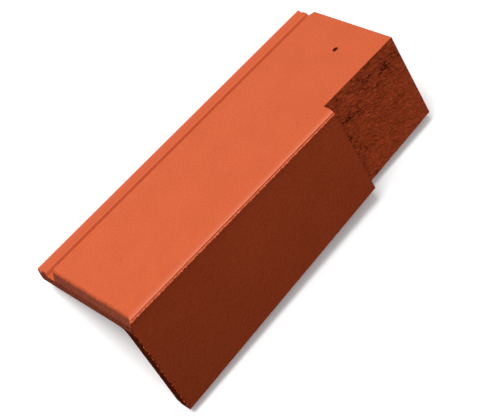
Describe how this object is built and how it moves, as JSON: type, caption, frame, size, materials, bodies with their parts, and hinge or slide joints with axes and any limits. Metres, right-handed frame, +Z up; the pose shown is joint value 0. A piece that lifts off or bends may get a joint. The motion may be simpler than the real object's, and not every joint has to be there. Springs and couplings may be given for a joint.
{
  "type": "verge tile",
  "caption": "Flat interlocking roof tile for a verge, with a side lock on its left edge and a deep skirt on its right edge that steps in near the head.",
  "frame": {"origin": "on the floor under the middle of the tile's bounding box, with the tile lying unheld on three of its lower corners", "axes": "+Y from the foot of the tile to its head, +X towards the verge side with the skirt, +Z up from the floor"},
  "size_m": [0.2216, 0.4244, 0.127],
  "materials": {
    "coated_concrete": "matt orange-red coat over a fine sandy surface"
  },
  "bodies": {
    "root": {"verge_tile": "coated_concrete"}
  },
  "joints": []
}
